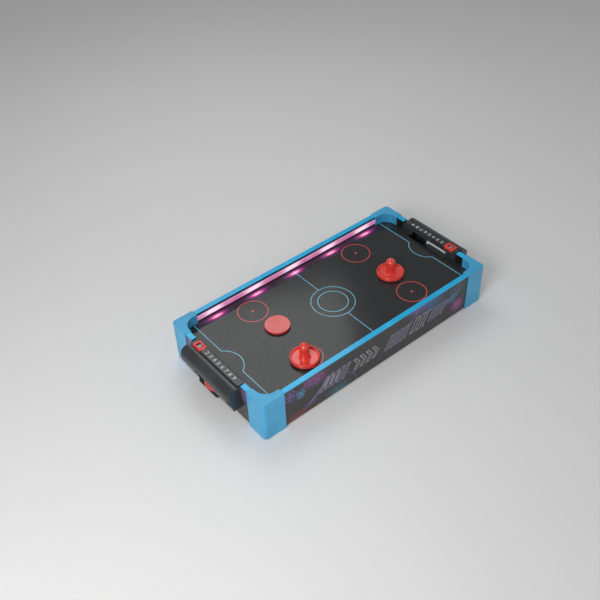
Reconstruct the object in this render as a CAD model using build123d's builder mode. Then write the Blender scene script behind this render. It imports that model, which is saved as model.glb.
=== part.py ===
from build123d import *
import os

# Table-top air hockey game. Millimetres, +Z up.
# X runs along the table, Y across it. The origin is on the floor under the table's centre.
# Each end is drawn in its own coordinates: u is the distance outwards from the centre, v goes
# across, and one end is the other turned half a turn about Z.

os.makedirs("parts", exist_ok=True)

# Overall size, over the corner posts
TABLE_LENGTH = 440.0
TABLE_WIDTH = 220.0
TABLE_HEIGHT = 70.0
HALF_LENGTH = TABLE_LENGTH / 2
HALF_WIDTH = TABLE_WIDTH / 2

# Heights above the floor
FOOT_THICKNESS = 1.2
BOARD_BOTTOM = 3.0
BOARD_TOP = 67.8
RAIL_TOP = 69.0
BASE_BOTTOM = 8.0
BASE_TOP = 10.5
PLAY_BOTTOM = 50.0
PLAY_TOP = 53.0
AIR_GAP = 0.3

# Frame boards: the outer face stands back from the posts by POST_PROUD
BOARD_THICKNESS = 8.5
POST_PROUD = 1.5
SIDE_INNER = HALF_WIDTH - POST_PROUD - BOARD_THICKNESS
END_INNER = HALF_LENGTH - POST_PROUD - BOARD_THICKNESS
SIDE_TENON = 206.0
END_TENON = 97.0
FIT_GAP = 0.1

# Corner posts, L-shaped in plan, and also the legs
POST_ARM_X = 37.0
POST_ARM_Y = 36.0
POST_INNER_X = 208.5
POST_INNER_Y = 97.5
POST_INNER_RADIUS = 19.0
POST_OUTER_RADIUS = 6.0
POST_WALL = 2.5
POST_END_X = HALF_LENGTH - POST_ARM_X
POST_END_Y = HALF_WIDTH - POST_ARM_Y

# Light strips in a groove along each side board
LED_BOTTOM = 55.2
LED_TOP = 64.2
LED_GROOVE = 3.2
LED_PROUD = 0.4
LED_PITCH = 76.0
LED_COUNT = 5
LED_WIRE_X = -60.0

# Playfield
HOLE_PITCH = 15.0
HOLE_RADIUS = 0.6
HOLES_ALONG = 25
HOLES_ACROSS = 13
DROP_EDGE = 202.3
DROP_HALF = 40.0

# Goals
GOAL_HALF = 58.5
GOAL_WALL = 2.0
MOUTH_HALF = 38.0
MOUTH_TOP = 61.2
BULGE_U = 225.3
BULGE_Z = 51.0
BULGE_RADIUS = 16.0
HOOD_BOTTOM = 26.8
HOOD_LIP_U = 224.2
HOOD_CORNER = 5.0
NOTCH_HALF = 25.0
NOTCH_TOP = 52.0
NOTCH_CORNER = 8.0
TRAY_TOP = 28.7
TRAY_INNER = 196.0
TRAY_OUTER = 230.9
TRAY_HALF = 56.4
TONGUE_OUTER = 237.0
TONGUE_CORNER = 6.0

# Score bar and slider
SCORE_HALF = 58.5
SCORE_BAR_OUT = 222.8
SCORE_FLANGE_TOP = 65.0
SCORE_RAIL_IN = 211.0
SCORE_RAIL_OUT = 221.2
SCORE_RAIL_HALF = 56.5
SCORE_RAIL_CORNER = 4.0
SCORE_TOP = 68.4
HOOK_GROOVE_BOTTOM = 65.3
HOOK_GROOVE_TOP = 66.9
HOOK_GROOVE_DEPTH = 0.9
SCORE_FIRST_V = -41.4
SLIDER_LENGTH = 18.5
SLIDER_TOP = 70.1
SLIDER_BOTTOM = 65.5
SLIDER_LEG = 0.8
SLIDER_HOOK = 1.0
SLIDER_WINDOW = (7.2, 11.0)
SLIDE_GAP = 0.2

# Pucks and paddles: centres at rest
PUCK_RADIUS = 19.5
PUCK_THICKNESS = 4.0
PADDLE_RADIUS = 21.85
PUCK_ON_TABLE = (-98.0, 13.2)
PUCK_RINGS = (15.5, 10.5, 5.5)
PUCK_RING_WIDTH = 0.9
PUCK_RING_DEPTH = 0.35
PUCK_IN_GOAL = (-218.4, 0.0)
PADDLE_SPOTS = ((-110.9, -65.3), (110.5, -11.7))

# Fan, at the centre of the bottom board
FAN_INLET_RADIUS = 22.0
FAN_RIM_RADIUS = 34.0
IMPELLER_RADIUS = 28.0
IMPELLER_BOTTOM = 13.5
IMPELLER_TOP = 27.0
BLADES = 9
BRIDGE_BOTTOM = 30.0
BRIDGE_TOP = 32.0
MOTOR_RADIUS = 12.2
MOTOR_TOP = 44.4
TAG_HEIGHT = 2.2
SHAFT_RADIUS = 1.0

# Battery box and switch, in the bottom board
BATTERY_X = -105.0
CELLS = 3
CELL_RADIUS = 7.1
CELL_LENGTH = 49.5
CELL_PITCH = 14.7
BOX_LENGTH_X = 47.0
BOX_LENGTH_Y = 60.0
BOX_WALL = 1.3
BOX_TOP = 26.0
SWITCH_X = -60.0

# Fasteners
HEAD_RADIUS = 2.8
HEAD_HEIGHT = 1.6
SHANK_RADIUS = 1.5
PILOT_RADIUS = 1.55

ENDS = (("left", -1), ("right", 1))
SIDES = (("front", -1), ("back", 1))


def end_plan(sign, z=0.0):
    """Horizontal plane of one end: local x runs outwards."""
    return Plane(origin=(0, 0, z), x_dir=(sign, 0, 0), z_dir=(0, 0, 1))


def end_section(sign):
    """Upright plane along the table at one end: local x runs outwards, local y up."""
    return Plane(origin=(0, 0, 0), x_dir=(sign, 0, 0), z_dir=(0, -sign, 0))


def end_face(sign, u):
    """Upright plane across the table at one end, facing outwards: local y runs up."""
    return Plane(origin=(sign * u, 0, 0), x_dir=(0, sign, 0), z_dir=(sign, 0, 0))


def side_section(sign):
    """Upright plane across the table: local x runs outwards to one long side, local y up."""
    return Plane(origin=(0, 0, 0), x_dir=(0, sign, 0), z_dir=(sign, 0, 0))


def side_face(sign, y):
    """Upright plane along one long side, facing outwards: local y runs up."""
    return Plane(origin=(0, sign * y, 0), x_dir=(-sign, 0, 0), z_dir=(0, sign, 0))


def block(low, high, mode=Mode.ADD):
    """A box between two corners, in the active part."""
    size = [b - a for a, b in zip(low, high)]
    middle = [(a + b) / 2 for a, b in zip(low, high)]
    with Locations(tuple(middle)):
        Box(*size, mode=mode)


def end_block(sign, low, high, mode=Mode.ADD):
    """A box between two corners given as (u, v, z) at one end of the table."""
    corners = [sorted((sign * low[i], sign * high[i])) for i in (0, 1)]
    block((corners[0][0], corners[1][0], low[2]), (corners[0][1], corners[1][1], high[2]), mode)


def drill(plane, spots, radius, depth):
    """Blind or through holes in the active part, cut along the plane's normal."""
    with BuildSketch(plane) as holes:
        with Locations(*spots):
            Circle(radius)
    extrude(holes.sketch, amount=depth, mode=Mode.SUBTRACT)


def drive_screws(plane, spots, length):
    """Cross-head screws in the active part: the plane is the seat, its normal points to the tip."""
    with BuildSketch(plane.offset(-HEAD_HEIGHT)) as heads:
        with Locations(*spots):
            Circle(HEAD_RADIUS)
    extrude(heads.sketch, amount=HEAD_HEIGHT)
    with BuildSketch(plane) as shanks:
        with Locations(*spots):
            Circle(SHANK_RADIUS)
    extrude(shanks.sketch, amount=length)
    with BuildSketch(plane.offset(-HEAD_HEIGHT)) as crosses:
        with Locations(*spots):
            Rectangle(3.2, 0.7)
            Rectangle(0.7, 3.2)
    extrude(crosses.sketch, amount=0.8, mode=Mode.SUBTRACT)


def inside_frame(gap):
    """Plan of a sheet that fits between the boards and round the corner posts."""
    Rectangle(2 * (POST_END_X - gap), 2 * (SIDE_INNER - gap))
    RectangleRounded(2 * (POST_INNER_X - gap), 2 * (POST_INNER_Y - gap), POST_INNER_RADIUS)
    Rectangle(2 * (END_INNER - gap), 2 * (POST_END_Y - gap))


# Screw positions
POST_SCREW_X = 187.0
POST_SCREW_HEIGHTS = (18.0, 34.0)
POST_SCREW_END_Y = 76.0
POST_SCREW_END_Z = 32.0
BASE_SCREW_Y = SIDE_INNER - 4.0
BASE_SCREW_SPOTS = [(x, s * BASE_SCREW_Y) for x in (-150, -50, 50, 150) for s in (-1, 1)]
EAR_SCREW_V = 63.0
EAR_SCREW_Z = 38.0
FLOOR_SCREWS = [(222.0, v) for v in (-50.5, 50.5)]
BAR_SCREWS = [(216.1, v) for v in (-51.0, 51.0)]
FAN_SCREW_RADIUS = 31.0
FAN_SCREW_ANGLES = (30, 150, 270)


# ---------------------------------------------------------------- frame boards
for side, sign in SIDES:
    with BuildPart() as side_board:
        y_low, y_high = sorted((sign * SIDE_INNER, sign * (SIDE_INNER + BOARD_THICKNESS)))
        block((-SIDE_TENON, y_low, BOARD_BOTTOM), (SIDE_TENON, y_high, BOARD_TOP))
        # Groove for the light strip, and a channel that brings its wire up
        with BuildSketch(side_face(sign, SIDE_INNER)):
            with Locations((0, (LED_BOTTOM + LED_TOP) / 2)):
                Rectangle(2 * POST_END_X, LED_TOP - LED_BOTTOM + 2 * FIT_GAP)
            with Locations((-sign * LED_WIRE_X, 40)):
                Rectangle(2.4, 36)
        extrude(amount=LED_GROOVE, mode=Mode.SUBTRACT)
        post_holes = [(x, z) for x in (-POST_SCREW_X, POST_SCREW_X) for z in POST_SCREW_HEIGHTS]
        drill(side_face(sign, SIDE_INNER), post_holes, PILOT_RADIUS, 7.0)
    side_board.part.label = f"side_board_{side}"
    export_step(side_board.part, f"parts/side_board_{side}.step")

    with BuildPart() as side_rail:
        with BuildSketch(side_section(sign)):
            with Locations((SIDE_INNER + BOARD_THICKNESS / 2, (BOARD_TOP + RAIL_TOP) / 2)):
                Rectangle(BOARD_THICKNESS, RAIL_TOP - BOARD_TOP)
        extrude(amount=POST_END_X - FIT_GAP, both=True)
        fillet(side_rail.faces().sort_by(Axis.Z)[-1].edges().filter_by(Axis.X), 0.5)
    side_rail.part.label = f"side_rail_{side}"
    export_step(side_rail.part, f"parts/side_rail_{side}.step")

for end, sign in ENDS:
    with BuildPart() as end_board:
        end_block(sign, (END_INNER, -END_TENON, BOARD_BOTTOM),
                  (END_INNER + BOARD_THICKNESS, END_TENON, BOARD_TOP))
        end_block(sign, (END_INNER - 1, -GOAL_HALF - FIT_GAP, HOOD_BOTTOM - 2 * FIT_GAP),
                  (END_INNER + BOARD_THICKNESS + 1, GOAL_HALF + FIT_GAP, BOARD_TOP + 1),
                  mode=Mode.SUBTRACT)
        corner_holes = [(v, POST_SCREW_END_Z) for v in (-POST_SCREW_END_Y, POST_SCREW_END_Y)]
        ear_holes = [(v, EAR_SCREW_Z) for v in (-EAR_SCREW_V, EAR_SCREW_V)]
        drill(end_face(sign, END_INNER), corner_holes + ear_holes, PILOT_RADIUS, 7.0)
    end_board.part.label = f"end_board_{end}"
    export_step(end_board.part, f"parts/end_board_{end}.step")

    with BuildPart() as end_rail:
        for v_side in (-1, 1):
            v_low, v_high = sorted((v_side * (GOAL_HALF + 0.6), v_side * (POST_END_Y - FIT_GAP)))
            end_block(sign, (END_INNER, v_low, BOARD_TOP),
                      (END_INNER + BOARD_THICKNESS, v_high, RAIL_TOP))
        fillet(end_rail.faces().group_by(Axis.Z)[-1].edges().filter_by(Axis.Y), 0.5)
    end_rail.part.label = f"end_rail_{end}"
    export_step(end_rail.part, f"parts/end_rail_{end}.step")


# ---------------------------------------------------------------- corner posts
for side, y_sign in SIDES:
    for end, x_sign in ENDS:
        # The post is drawn at the +X +Y corner and mirrored by the signs of its corner
        with BuildPart() as corner_post:
            with BuildSketch(Plane.XY.offset(FOOT_THICKNESS)) as post_plan:
                with Locations(((POST_END_X + HALF_LENGTH) / 2, (POST_END_Y + HALF_WIDTH) / 2)):
                    Rectangle(POST_ARM_X, POST_ARM_Y)
                outer_corner = post_plan.vertices().sort_by(Axis.X)[-2:].sort_by(Axis.Y)[-1]
                fillet(outer_corner, POST_OUTER_RADIUS)
                RectangleRounded(2 * POST_INNER_X, 2 * POST_INNER_Y, POST_INNER_RADIUS,
                                 mode=Mode.SUBTRACT)
            extrude(amount=TABLE_HEIGHT - FOOT_THICKNESS)
            fillet(corner_post.faces().sort_by(Axis.Z)[-1].edges(), 0.8)
            # Slots that take the ends of the two boards
            slot_top = BOARD_TOP + FIT_GAP
            block((POST_END_X - 1, SIDE_INNER - FIT_GAP, 0),
                  (SIDE_TENON + FIT_GAP, SIDE_INNER + BOARD_THICKNESS + FIT_GAP, slot_top),
                  mode=Mode.SUBTRACT)
            block((END_INNER - FIT_GAP, POST_END_Y - 1, 0),
                  (END_INNER + BOARD_THICKNESS + FIT_GAP, END_TENON + FIT_GAP, slot_top),
                  mode=Mode.SUBTRACT)
            # Moulding core in the corner itself
            block((POST_INNER_X, SIDE_INNER, 12.0),
                  (HALF_LENGTH - POST_WALL, HALF_WIDTH - POST_WALL, TABLE_HEIGHT - 4), mode=Mode.SUBTRACT)
            drill(Plane(origin=(0, POST_INNER_Y - 1, 0), x_dir=(-1, 0, 0), z_dir=(0, 1, 0)),
                  [(-POST_SCREW_X, z) for z in POST_SCREW_HEIGHTS], PILOT_RADIUS, 4.0)
            drill(Plane(origin=(POST_INNER_X - 1, 0, 0), x_dir=(0, 1, 0), z_dir=(1, 0, 0)),
                  [(POST_SCREW_END_Y, POST_SCREW_END_Z)], PILOT_RADIUS, 3.0)
            if x_sign < 0:
                mirror(about=Plane.YZ, mode=Mode.REPLACE)
            if y_sign < 0:
                mirror(about=Plane.XZ, mode=Mode.REPLACE)
        corner_post.part.label = f"corner_post_{side}_{end}"
        export_step(corner_post.part, f"parts/corner_post_{side}_{end}.step")

FOOT_X = 212.5
FOOT_Y = 103.0
with BuildPart() as foot_pads:
    with BuildSketch(Plane.XY):
        with Locations(*[(i * FOOT_X, j * FOOT_Y) for i in (-1, 1) for j in (-1, 1)]):
            RectangleRounded(10.0, 9.0, 2.0)
    extrude(amount=FOOT_THICKNESS)
foot_pads.part.label = "foot_pads"
export_step(foot_pads.part, "parts/foot_pads.step")


# ---------------------------------------------------------------- playfield and bottom
with BuildPart() as playfield:
    with BuildSketch(Plane.XY.offset(PLAY_BOTTOM)):
        inside_frame(FIT_GAP)
        # Slots in front of the goal mouths, where a puck drops
        for _, sign in ENDS:
            with Locations((sign * (DROP_EDGE + 10), 0)):
                Rectangle(20, 2 * DROP_HALF, mode=Mode.SUBTRACT)
    extrude(amount=PLAY_TOP - PLAY_BOTTOM)
    with BuildSketch(Plane.XY.offset(PLAY_BOTTOM)):
        with GridLocations(HOLE_PITCH, HOLE_PITCH, HOLES_ALONG, HOLES_ACROSS):
            Circle(HOLE_RADIUS)
    extrude(amount=PLAY_TOP - PLAY_BOTTOM, mode=Mode.SUBTRACT)
playfield.part.label = "playfield"
export_step(playfield.part, "parts/playfield.step")

LEDGE_WIDTH = 8.0
LEDGE_HEIGHT = 8.0
BASE_LEDGE_TOP = 20.0
LEDGE_END = POST_END_X - 0.5
for side, sign in SIDES:
    y_low, y_high = sorted((sign * (SIDE_INNER - LEDGE_WIDTH), sign * SIDE_INNER))
    with BuildPart() as playfield_ledge:
        block((-LEDGE_END, y_low, PLAY_BOTTOM - LEDGE_HEIGHT), (LEDGE_END, y_high, PLAY_BOTTOM))
    playfield_ledge.part.label = f"playfield_ledge_{side}"
    export_step(playfield_ledge.part, f"parts/playfield_ledge_{side}.step")

    with BuildPart() as base_ledge:
        block((-LEDGE_END, y_low, BASE_TOP), (LEDGE_END, y_high, BASE_LEDGE_TOP))
        drill(Plane.XY.offset(BASE_TOP), [s for s in BASE_SCREW_SPOTS if s[1] * sign > 0],
              PILOT_RADIUS, 8.0)
    base_ledge.part.label = f"base_ledge_{side}"
    export_step(base_ledge.part, f"parts/base_ledge_{side}.step")

SWITCH_SLOT = (9.0, 3.8)
fan_screw_spots = [tuple(Vector(FAN_SCREW_RADIUS, 0).rotate(Axis.Z, a))[:2] for a in FAN_SCREW_ANGLES]
with BuildPart() as base_board:
    with BuildSketch(Plane.XY.offset(BASE_BOTTOM)):
        inside_frame(FIT_GAP)
        Circle(FAN_INLET_RADIUS, mode=Mode.SUBTRACT)
        with Locations((BATTERY_X, 0)):
            Rectangle(BOX_LENGTH_X + 2 * FIT_GAP, BOX_LENGTH_Y + 2 * FIT_GAP, mode=Mode.SUBTRACT)
        with Locations((SWITCH_X, 0)):
            Rectangle(*SWITCH_SLOT, mode=Mode.SUBTRACT)
        with Locations(*BASE_SCREW_SPOTS, *fan_screw_spots):
            Circle(PILOT_RADIUS, mode=Mode.SUBTRACT)
    extrude(amount=BASE_TOP - BASE_BOTTOM)
base_board.part.label = "base_board"
export_step(base_board.part, "parts/base_board.step")


# ---------------------------------------------------------------- goals
def bulge_point(radius, degrees):
    """A point of the hood's round section, with the angle measured from straight outwards."""
    return tuple((Vector(BULGE_U, BULGE_Z) + Vector(radius, 0).rotate(Axis.Z, degrees)))[:2]


def on_bulge(radius, u):
    """The upper point of the hood's round section at the distance u."""
    return (u, BULGE_Z + (radius**2 - (u - BULGE_U)**2) ** 0.5)


HOOD_FOOT_U = 233.0
UNDERCUT_ANGLE = -46
for end, sign in ENDS:
    with BuildPart() as goal_hood:
        # Outer form: a round bulge over a lip, with a flat shelf that carries the score bar
        with BuildSketch(end_section(sign)):
            with BuildLine():
                upper = on_bulge(BULGE_RADIUS, HOOD_LIP_U)
                lower = bulge_point(BULGE_RADIUS, UNDERCUT_ANGLE)
                ThreePointArc(upper, bulge_point(BULGE_RADIUS, 20), lower)
                Polyline(lower, (HOOD_FOOT_U, HOOD_BOTTOM), (END_INNER + FIT_GAP, HOOD_BOTTOM),
                         (END_INNER + FIT_GAP, PLAY_TOP + FIT_GAP),
                         (POST_INNER_X + FIT_GAP, PLAY_TOP + FIT_GAP),
                         (POST_INNER_X + FIT_GAP, MOUTH_TOP + GOAL_WALL),
                         (HOOD_LIP_U, MOUTH_TOP + GOAL_WALL), upper)
            make_face()
        extrude(amount=GOAL_HALF, both=True)
        # Its outer corners are rounded in plan
        with BuildSketch(end_plan(sign, HOOD_BOTTOM - 5)) as outline:
            with Locations((HOOD_LIP_U, 0)):
                Rectangle(2 * (BULGE_U + BULGE_RADIUS - HOOD_LIP_U), 2 * GOAL_HALF)
            fillet(outline.vertices().group_by(Axis.X)[-1], HOOD_CORNER)
            with Locations((HOOD_LIP_U - 10, 0)):
                Rectangle(20, 2 * GOAL_HALF)
        extrude(amount=TABLE_HEIGHT, mode=Mode.INTERSECT)
        # Inside of the shell, open below and towards the rink
        with BuildSketch(end_section(sign)):
            with BuildLine():
                inner_radius = BULGE_RADIUS - GOAL_WALL
                wall_top = on_bulge(inner_radius, HOOD_LIP_U + GOAL_WALL)
                wall_foot = bulge_point(inner_radius, UNDERCUT_ANGLE)
                ThreePointArc(wall_top, bulge_point(inner_radius, 10), wall_foot)
                Polyline(wall_foot, (HOOD_FOOT_U - GOAL_WALL, HOOD_BOTTOM),
                         (HOOD_FOOT_U - GOAL_WALL, HOOD_BOTTOM - 1),
                         (POST_INNER_X - 1, HOOD_BOTTOM - 1), (POST_INNER_X - 1, MOUTH_TOP),
                         (HOOD_LIP_U + GOAL_WALL, MOUTH_TOP), wall_top)
            make_face()
        extrude(amount=GOAL_HALF - GOAL_WALL, both=True, mode=Mode.SUBTRACT)
        # Cheeks beside the mouth
        for v_side in (-1, 1):
            v_low, v_high = sorted((v_side * MOUTH_HALF, v_side * (GOAL_HALF - GOAL_WALL)))
            end_block(sign, (POST_INNER_X + FIT_GAP, v_low, PLAY_TOP + FIT_GAP),
                      (POST_INNER_X + FIT_GAP + GOAL_WALL, v_high, MOUTH_TOP))
        # Finger notch in the lower front
        with BuildSketch(end_face(sign, HOOD_LIP_U)) as notch:
            with Locations((0, (NOTCH_TOP + HOOD_BOTTOM - 10) / 2)):
                Rectangle(2 * NOTCH_HALF, NOTCH_TOP - HOOD_BOTTOM + 10)
            fillet(notch.vertices().group_by(Axis.Y)[-1], NOTCH_CORNER)
        extrude(amount=20, mode=Mode.SUBTRACT)
        # Bosses for the tray's screws, on the end walls
        with BuildSketch(end_plan(sign, TRAY_TOP)):
            with Locations(*FLOOR_SCREWS):
                Circle(3.5)
            for u, v in FLOOR_SCREWS:
                with Locations((u, v * 1.06)):
                    Rectangle(3.0, 7.5)
        extrude(amount=14)
        drill(end_plan(sign, TRAY_TOP), FLOOR_SCREWS, PILOT_RADIUS, 9.0)
        drill(end_plan(sign, MOUTH_TOP - 1), BAR_SCREWS, PILOT_RADIUS, 4.0)
    goal_hood.part.label = f"goal_hood_{end}"
    export_step(goal_hood.part, f"parts/goal_hood_{end}.step")

    with BuildPart() as goal_tray:
        floor_low = TRAY_TOP - GOAL_WALL
        end_block(sign, (TRAY_INNER - GOAL_WALL, -TRAY_HALF, floor_low),
                  (TRAY_OUTER, TRAY_HALF, TRAY_TOP))
        # Tongue that closes the bottom of the finger notch, with rounded outer corners
        with BuildSketch(end_plan(sign, floor_low)) as tongue:
            with Locations(((TRAY_INNER + TONGUE_OUTER) / 2, 0)):
                Rectangle(TONGUE_OUTER - TRAY_INNER, 2 * (NOTCH_HALF - 4 * FIT_GAP))
            fillet(tongue.vertices().group_by(Axis.X)[-1], TONGUE_CORNER)
        extrude(amount=GOAL_WALL)
        end_block(sign, (TRAY_INNER - GOAL_WALL, -TRAY_HALF, TRAY_TOP),
                  (TRAY_INNER, TRAY_HALF, PLAY_BOTTOM - FIT_GAP))
        for v_side in (-1, 1):
            v_low, v_high = sorted((v_side * (TRAY_HALF - GOAL_WALL), v_side * TRAY_HALF))
            end_block(sign, (TRAY_INNER, v_low, TRAY_TOP),
                      (END_INNER - FIT_GAP, v_high, PLAY_BOTTOM - FIT_GAP))
            # Ear that screws to the end board
            v_low, v_high = sorted((v_side * TRAY_HALF, v_side * (EAR_SCREW_V + 5)))
            end_block(sign, (END_INNER - GOAL_WALL, v_low, EAR_SCREW_Z - 7),
                      (END_INNER, v_high, EAR_SCREW_Z + 7))
        drill(end_face(sign, END_INNER - GOAL_WALL),
              [(v, EAR_SCREW_Z) for v in (-EAR_SCREW_V, EAR_SCREW_V)], PILOT_RADIUS, GOAL_WALL)
        drill(end_plan(sign, floor_low), FLOOR_SCREWS, PILOT_RADIUS, GOAL_WALL)
    goal_tray.part.label = f"goal_tray_{end}"
    export_step(goal_tray.part, f"parts/goal_tray_{end}.step")

    bar_bottom = MOUTH_TOP + GOAL_WALL
    with BuildPart() as score_bar:
        # A flange with a raised rail, undercut along both edges for the slider's hooks
        end_block(sign, (POST_INNER_X + 2 * FIT_GAP, -SCORE_HALF, bar_bottom),
                  (SCORE_BAR_OUT, SCORE_HALF, SCORE_FLANGE_TOP))
        with BuildSketch(end_plan(sign, SCORE_FLANGE_TOP)):
            with Locations(((SCORE_RAIL_IN + SCORE_RAIL_OUT) / 2, 0)):
                RectangleRounded(SCORE_RAIL_OUT - SCORE_RAIL_IN, 2 * SCORE_RAIL_HALF, SCORE_RAIL_CORNER)
        extrude(amount=SCORE_TOP - SCORE_FLANGE_TOP)
        for low in (SCORE_RAIL_IN, SCORE_RAIL_OUT - HOOK_GROOVE_DEPTH):
            end_block(sign, (low, -SCORE_HALF, HOOK_GROOVE_BOTTOM),
                      (low + HOOK_GROOVE_DEPTH, SCORE_HALF, HOOK_GROOVE_TOP), mode=Mode.SUBTRACT)
        drill(end_plan(sign, bar_bottom), BAR_SCREWS, PILOT_RADIUS, 3.6)
    score_bar.part.label = f"score_bar_{end}"
    export_step(score_bar.part, f"parts/score_bar_{end}.step")

    slider_v = SCORE_FIRST_V
    slider_low = slider_v - SLIDER_LENGTH / 2
    slider_high = slider_v + SLIDER_LENGTH / 2
    leg_in = SCORE_RAIL_IN - SLIDE_GAP
    leg_out = SCORE_RAIL_OUT + SLIDE_GAP
    with BuildPart() as score_slider:
        # A framed window that rides over the rail
        end_block(sign, (leg_in - SLIDER_LEG, slider_low, SCORE_TOP + SLIDE_GAP),
                  (leg_out + SLIDER_LEG, slider_high, SLIDER_TOP))
        fillet(score_slider.faces().sort_by(Axis.Z)[-1].edges(), 0.6)
        for outside, inside in ((leg_in - SLIDER_LEG, leg_in), (leg_out + SLIDER_LEG, leg_out)):
            inwards = SLIDER_LEG if inside > outside else -SLIDER_LEG
            leg_low, leg_high = sorted((outside, inside))
            end_block(sign, (leg_low, slider_low + 1, SLIDER_BOTTOM),
                      (leg_high, slider_high - 1, SCORE_TOP + 2 * SLIDE_GAP))
            hook_low, hook_high = sorted((outside, inside + inwards))
            end_block(sign, (hook_low, slider_low + 1, SLIDER_BOTTOM),
                      (hook_high, slider_high - 1, SLIDER_BOTTOM + SLIDER_HOOK))
        rail_middle = (SCORE_RAIL_IN + SCORE_RAIL_OUT) / 2
        with BuildSketch(end_plan(sign, SCORE_TOP)):
            with Locations((rail_middle, slider_v)):
                RectangleRounded(*SLIDER_WINDOW, 1.0)
        extrude(amount=3, mode=Mode.SUBTRACT)
    score_slider.part.label = f"score_slider_{end}"
    export_step(score_slider.part, f"parts/score_slider_{end}.step")


# ---------------------------------------------------------------- light strips
LED_BOARD_Y = SIDE_INNER + LED_GROOVE - 0.8
DIFFUSER_BACK = SIDE_INNER + 1.2
for side, sign in SIDES:
    with BuildPart() as led_diffuser:
        with BuildSketch(side_section(sign)):
            with Locations(((SIDE_INNER - LED_PROUD + DIFFUSER_BACK) / 2, (LED_BOTTOM + LED_TOP) / 2)):
                Rectangle(DIFFUSER_BACK - SIDE_INNER + LED_PROUD, LED_TOP - LED_BOTTOM)
        extrude(amount=POST_END_X - FIT_GAP, both=True)
    led_diffuser.part.label = f"led_diffuser_{side}"
    export_step(led_diffuser.part, f"parts/led_diffuser_{side}.step")

    with BuildPart() as led_board:
        y_low, y_high = sorted((sign * LED_BOARD_Y, sign * (SIDE_INNER + LED_GROOVE)))
        block((-180, y_low, LED_BOTTOM + 1), (180, y_high, LED_TOP - 1))
    led_board.part.label = f"led_board_{side}"
    export_step(led_board.part, f"parts/led_board_{side}.step")

with BuildPart() as led_chips:
    for _, sign in SIDES:
        with BuildSketch(side_face(sign, DIFFUSER_BACK)):
            with Locations((0, (LED_BOTTOM + LED_TOP) / 2)):
                with GridLocations(LED_PITCH, 1, LED_COUNT, 1):
                    Rectangle(5.0, 5.0)
        extrude(amount=LED_BOARD_Y - DIFFUSER_BACK)
led_chips.part.label = "led_chips"
export_step(led_chips.part, "parts/led_chips.step")


# ---------------------------------------------------------------- fan
with BuildPart() as fan_grille:
    with BuildSketch(Plane.XY.offset(BASE_BOTTOM - 1.5)):
        Circle(FAN_RIM_RADIUS)
        with PolarLocations(FAN_SCREW_RADIUS, 3, start_angle=FAN_SCREW_ANGLES[0]):
            Circle(PILOT_RADIUS, mode=Mode.SUBTRACT)
        for radius in (6.5, 12.5, 18.5):
            Circle(radius + 1.6, mode=Mode.SUBTRACT)
            Circle(radius - 1.6)
        with PolarLocations(11, 6):
            Rectangle(20, 1.6)
    extrude(amount=1.5)
fan_grille.part.label = "fan_grille"
export_step(fan_grille.part, "parts/fan_grille.step")

with BuildPart() as fan_housing:
    with BuildSketch(Plane.XY.offset(BASE_TOP)):
        Circle(FAN_RIM_RADIUS)
        Circle(FAN_INLET_RADIUS, mode=Mode.SUBTRACT)
    extrude(amount=2.0)
    with BuildSketch(Plane.XY.offset(BASE_TOP + 2)):
        with PolarLocations(FAN_SCREW_RADIUS, 3, start_angle=FAN_SCREW_ANGLES[0]):
            Circle(2.6)
    extrude(amount=BRIDGE_TOP - BASE_TOP - 2)
    with BuildSketch(Plane.XY.offset(BRIDGE_BOTTOM)):
        Circle(MOTOR_RADIUS + 2)
        for angle in FAN_SCREW_ANGLES:
            with Locations(Location((0, 0), angle)):
                Rectangle(FAN_SCREW_RADIUS, 5, align=(Align.MIN, Align.CENTER))
    extrude(amount=BRIDGE_TOP - BRIDGE_BOTTOM)
    # Collar that holds the motor, and the hole its nose goes through
    with BuildSketch(Plane.XY.offset(BRIDGE_TOP)):
        Circle(MOTOR_RADIUS + 2)
        Circle(MOTOR_RADIUS, mode=Mode.SUBTRACT)
    extrude(amount=5)
    drill(Plane.XY.offset(BRIDGE_BOTTOM), [(0, 0)], 4.0, BRIDGE_TOP - BRIDGE_BOTTOM)
    drill(Plane.XY.offset(BASE_TOP), fan_screw_spots, PILOT_RADIUS, 8.0)
fan_housing.part.label = "fan_housing"
export_step(fan_housing.part, "parts/fan_housing.step")

HUB_RADIUS = 4.5
HUB_TOP = 28.5
blade_arc = CenterArc((1, 16), 16, -93.5, 50)
with BuildPart() as fan_rotor:
    with BuildSketch(Plane.XY.offset(IMPELLER_TOP - 1.5)):
        Circle(IMPELLER_RADIUS)
    extrude(amount=1.5)
    with BuildSketch(Plane.XY.offset(18)):
        Circle(HUB_RADIUS)
    extrude(amount=HUB_TOP - 18)
    # Backward-curved blades
    with BuildSketch(Plane.XY.offset(IMPELLER_BOTTOM)):
        with PolarLocations(14, BLADES):
            SlotArc(blade_arc, 1.2)
    extrude(amount=IMPELLER_TOP - IMPELLER_BOTTOM - 1)
    drill(Plane.XY.offset(17), [(0, 0)], SHAFT_RADIUS + 0.01, 13)
fan_rotor.part.label = "fan_rotor"
export_step(fan_rotor.part, "parts/fan_rotor.step")

with BuildPart() as motor_shaft:
    with BuildSketch(Plane.XY.offset(18.5)):
        Circle(SHAFT_RADIUS)
    extrude(amount=MOTOR_TOP + 1 - 18.5)
motor_shaft.part.label = "motor_shaft"
export_step(motor_shaft.part, "parts/motor_shaft.step")

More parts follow.
